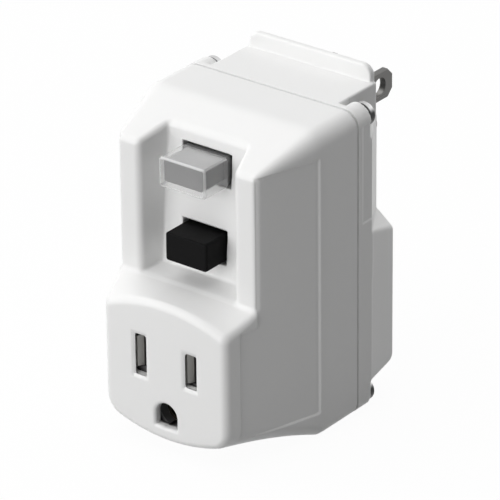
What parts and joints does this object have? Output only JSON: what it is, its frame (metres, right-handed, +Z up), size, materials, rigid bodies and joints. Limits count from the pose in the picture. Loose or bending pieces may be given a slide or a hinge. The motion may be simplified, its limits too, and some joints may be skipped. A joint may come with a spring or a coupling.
{
  "type": "residual-current adapter plug",
  "caption": "Plug-in residual-current adapter: a grounded outlet on a tapered nose, with reset and test buttons in a recess above it and plug blades at the rear.",
  "frame": {"origin": "on the rear face that meets the wall plate, midway between the two plug blades", "axes": "+X to the right seen from the front, +Y towards the wall (out of the rear face), +Z up"},
  "size_m": [0.044, 0.0698, 0.0714],
  "materials": {
    "white_housing": "fine satin moulding",
    "clear_cap": "translucent, polished",
    "grey_core": "moulded",
    "trip_dark": "moulded",
    "black_button": "satin moulding",
    "dark_screw": "burnished steel",
    "plated_blade": "nickel-plated brass",
    "contact_brass": "bright stamped",
    "socket_bronze": "dull bronze",
    "tinned_strap": "tinned",
    "copper_strip": "bright stamped copper",
    "silver_contact": "silver rivet",
    "carrier_plastic": "moulded",
    "guide_plastic": "moulded",
    "carriage_plastic": "moulded",
    "bobbin_plastic": "moulded",
    "case_plastic": "moulded",
    "plated_steel": "zinc-plated",
    "spring_steel": "drawn wire",
    "coil_copper": "enamelled wire",
    "core_metal": "coated toroid",
    "board_laminate": "solder-masked laminate",
    "black_component": "moulded",
    "blue_component": "dipped",
    "orange_component": "dipped",
    "tan_component": "lacquered"
  },
  "bodies": {
    "housing": {"front_cover": "white_housing", "rear_cover": "white_housing", "cover_screws": "dark_screw", "live_blade": "plated_blade", "neutral_blade": "plated_blade", "ground_pin": "plated_blade", "test_posts": "contact_brass", "ground_contact": "socket_bronze", "live_contact": "tinned_strap", "neutral_contact": "tinned_strap", "ground_strap": "tinned_strap", "live_load_strap": "copper_strip", "neutral_load_strap": "copper_strip", "live_line_strip": "copper_strip", "neutral_line_strip": "copper_strip", "fixed_contacts": "silver_contact", "contact_carrier": "carrier_plastic", "mechanism_frame": "carrier_plastic", "button_guide": "guide_plastic", "coil_bobbin": "bobbin_plastic", "transformer_case": "case_plastic", "coil_yoke": "plated_steel", "guide_screws": "plated_steel", "frame_screws": "plated_steel", "board_screws": "plated_steel", "reset_spring": "spring_steel", "test_spring": "spring_steel", "carriage_springs": "spring_steel", "plunger_spring": "spring_steel", "coil_winding": "coil_copper", "sense_core": "core_metal", "neutral_core": "core_metal", "circuit_board": "board_laminate", "control_chip": "black_component", "thyristor": "black_component", "diodes": "black_component", "varistor": "blue_component", "smoothing_capacitor": "blue_component", "film_capacitor": "orange_component", "resistors": "tan_component"},
    "reset": {"reset_cap": "clear_cap", "reset_core": "grey_core", "trip_band": "trip_dark", "reset_stem": "plated_steel"},
    "test": {"test_button": "black_button", "test_bridge": "contact_brass"},
    "carriage": {"contact_carriage": "carriage_plastic", "live_bridge": "copper_strip", "neutral_bridge": "copper_strip", "moving_contacts": "silver_contact"},
    "latch": {"latch_plate": "plated_steel"},
    "plunger": {"coil_plunger": "plated_steel"}
  },
  "joints": [
    {"name": "reset_press", "type": "slide", "parent": "housing", "child": "reset", "axis": [0, 1, 0], "range_m": [0, 0.0034], "stiffness_N_per_m": 400, "springref_m": -0.002, "deforming": ["reset_spring"]},
    {"name": "test_press", "type": "slide", "parent": "housing", "child": "test", "axis": [0, 1, 0], "range_m": [0, 0.0018], "stiffness_N_per_m": 500, "springref_m": -0.001, "deforming": ["test_spring"]},
    {"name": "carriage_close", "type": "slide", "parent": "housing", "child": "carriage", "axis": [0, -1, 0], "range_m": [0, 0.0015], "stiffness_N_per_m": 400, "springref_m": -0.001, "deforming": ["carriage_springs"]},
    {"name": "plunger_pull", "type": "slide", "parent": "housing", "child": "plunger", "axis": [0, 0, -1], "range_m": [0, 0.0008], "stiffness_N_per_m": 300, "springref_m": -0.001, "deforming": ["plunger_spring"]},
    {"name": "latch_slide", "type": "slide", "parent": "carriage", "child": "latch", "axis": [0, 0, -1], "range_m": [0, 0.0008]}
  ],
  "couplings": [
    {"joint": "latch_slide", "follows": "plunger_pull", "ratio": 1}
  ]
}
